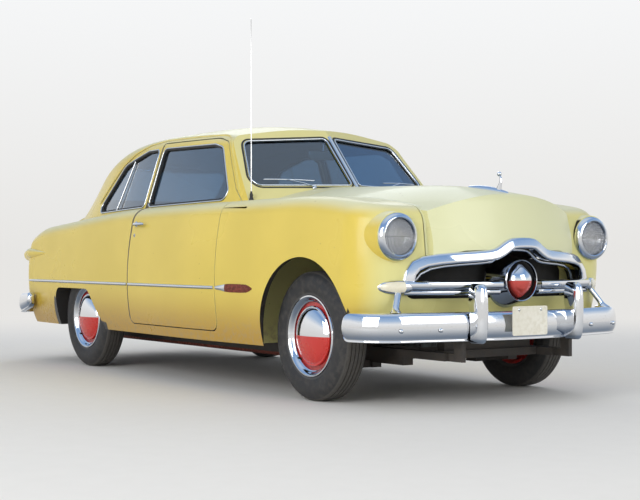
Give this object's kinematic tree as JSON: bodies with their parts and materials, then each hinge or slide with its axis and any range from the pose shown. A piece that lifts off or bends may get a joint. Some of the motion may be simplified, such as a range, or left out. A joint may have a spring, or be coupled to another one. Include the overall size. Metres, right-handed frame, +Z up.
{
  "type": "1950s classic car",
  "caption": "Two-door closed car with rounded wings, a divided windscreen, chrome bumpers and a round grille centre; it rolls, steers, and its doors and lids open.",
  "frame": {"origin": "on the ground at the middle of the car's length and width", "axes": "+X forward, +Y to the car's left, +Z up"},
  "size_m": [5, 1.8404, 2.172],
  "materials": {
    "body_paint": "gloss yellow enamel, paler on top",
    "bright_chrome": "polished chrome plate",
    "window_glass": "clear flat glass",
    "tyre_rubber": "black wall",
    "wheel_red": "gloss red enamel",
    "red_lens": "clear red lens",
    "seat_cloth": "woven broadcloth",
    "dash_paint": "semi-gloss enamel",
    "rim_plastic": "moulded hard plastic",
    "chassis_black": "dull black",
    "engine_iron": "painted casting",
    "plate_paint": "blank white enamel"
  },
  "bodies": {
    "body": {"antenna": "bright_chrome", "body_shell": "body_paint", "chassis_frame": "chassis_black", "dashboard": "dash_paint", "engine": "engine_iron", "exhaust": "chassis_black", "front_bumper": "bright_chrome", "front_guards": "bright_chrome", "front_pan": "body_paint", "front_seat": "seat_cloth", "front_wing_left": "body_paint", "front_wing_right": "body_paint", "fuel_tank": "chassis_black", "grille_arch": "bright_chrome", "grille_bar": "bright_chrome", "grille_housing": "bright_chrome", "headlamps": "bright_chrome", "mirror": "bright_chrome", "number_plate": "plate_paint", "propshaft": "chassis_black", "quarter_glass": "window_glass", "radiator": "chassis_black", "rear_axle": "chassis_black", "rear_bumper": "bright_chrome", "rear_guards": "bright_chrome", "rear_seat": "seat_cloth", "rear_window": "window_glass", "side_trim": "body_paint", "tail_lamps": "red_lens", "windscreen": "window_glass", "steering_wheel": "rim_plastic"},
    "door_left": {"door_glass_left": "window_glass", "door_left": "body_paint", "trim_door_left": "bright_chrome"},
    "door_right": {"door_glass_right": "window_glass", "door_right": "body_paint", "trim_door_right": "bright_chrome"},
    "hood": {"hood": "body_paint", "hood_ornament": "bright_chrome"},
    "knuckle_left": {"knuckle_left": "chassis_black"},
    "knuckle_right": {"knuckle_right": "chassis_black"},
    "trunk_lid": {"trunk_lid": "body_paint"},
    "wheel_front_left": {"tyre_front_left": "tyre_rubber", "wheel_front_left": "wheel_red"},
    "wheel_front_right": {"tyre_front_right": "tyre_rubber", "wheel_front_right": "wheel_red"},
    "wheel_rear_left": {"tyre_rear_left": "tyre_rubber", "wheel_rear_left": "wheel_red"},
    "wheel_rear_right": {"tyre_rear_right": "tyre_rubber", "wheel_rear_right": "wheel_red"}
  },
  "joints": [
    {"name": "hood_hinge", "type": "hinge", "parent": "body", "child": "hood", "pos_m": [1.027, 0, 1.1915], "axis": [0, -1, 0], "range_deg": [0, 50]},
    {"name": "trunk_hinge", "type": "hinge", "parent": "body", "child": "trunk_lid", "pos_m": [-2.077, 0, 1.0335], "axis": [0, 1, 0], "range_deg": [0, 60]},
    {"name": "door_left_hinge", "type": "hinge", "parent": "body", "child": "door_left", "pos_m": [0.748, 0.902, 0.64], "axis": [0, 0, -1], "range_deg": [0, 65]},
    {"name": "door_right_hinge", "type": "hinge", "parent": "body", "child": "door_right", "pos_m": [0.748, -0.902, 0.64], "axis": [0, 0, 1], "range_deg": [0, 65]},
    {"name": "steer_left", "type": "hinge", "parent": "body", "child": "knuckle_left", "pos_m": [1.57, 0.615, 0.349], "axis": [0, 0, 1], "range_deg": [-30, 30]},
    {"name": "steer_right", "type": "hinge", "parent": "body", "child": "knuckle_right", "pos_m": [1.57, -0.615, 0.349], "axis": [0, 0, 1], "range_deg": [-30, 30]},
    {"name": "front_left_spin", "type": "hinge", "parent": "knuckle_left", "child": "wheel_front_left", "pos_m": [1.57, 0.711, 0.349], "axis": [0, 1, 0], "continuous": true},
    {"name": "front_right_spin", "type": "hinge", "parent": "knuckle_right", "child": "wheel_front_right", "pos_m": [1.57, -0.711, 0.349], "axis": [0, 1, 0], "continuous": true},
    {"name": "rear_left_spin", "type": "hinge", "parent": "body", "child": "wheel_rear_left", "pos_m": [-1.326, 0.711, 0.349], "axis": [0, 1, 0], "continuous": true},
    {"name": "rear_right_spin", "type": "hinge", "parent": "body", "child": "wheel_rear_right", "pos_m": [-1.326, -0.711, 0.349], "axis": [0, 1, 0], "continuous": true}
  ],
  "couplings": [
    {"joint": "steer_right", "follows": "steer_left", "ratio": 1}
  ]
}
